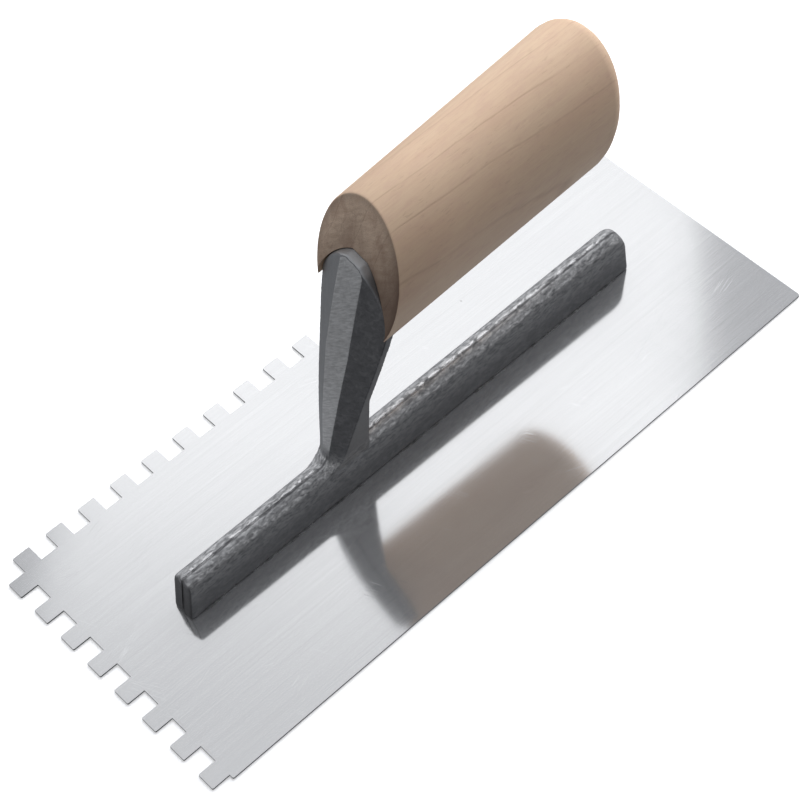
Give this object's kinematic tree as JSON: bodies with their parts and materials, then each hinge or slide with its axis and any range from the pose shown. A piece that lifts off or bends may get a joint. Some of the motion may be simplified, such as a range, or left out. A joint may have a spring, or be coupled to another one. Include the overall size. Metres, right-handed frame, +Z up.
{
  "type": "notched trowel",
  "caption": "Notched trowel: thin rectangular steel blade with square notches along two edges, cast mounting bar with a raked neck, and an oval wooden handle.",
  "frame": {"origin": "middle of the blade's length and width, on its underside", "axes": "+X along the blade and the handle, from the notched short end to the plain short end; +Y towards the notched long edge; +Z up from the blade to the handle"},
  "size_m": [0.316, 0.13, 0.1554],
  "materials": {
    "blade_steel": "brushed, half polished",
    "cast_aluminium": "dull grey as cast, filed on the neck's front",
    "beech_wood": "sanded, unvarnished",
    "zinc_plated_steel": "bright zinc"
  },
  "bodies": {
    "root": {"blade": "blade_steel", "mounting_casting": "cast_aluminium", "handle": "beech_wood", "blade_rivet_1": "zinc_plated_steel", "blade_rivet_2": "zinc_plated_steel", "blade_rivet_3": "zinc_plated_steel", "blade_rivet_4": "zinc_plated_steel", "blade_rivet_5": "zinc_plated_steel", "blade_rivet_6": "zinc_plated_steel", "blade_rivet_7": "zinc_plated_steel", "blade_rivet_8": "zinc_plated_steel", "handle_bolt": "zinc_plated_steel", "handle_washer": "zinc_plated_steel", "handle_spring_washer": "zinc_plated_steel"}
  },
  "joints": []
}
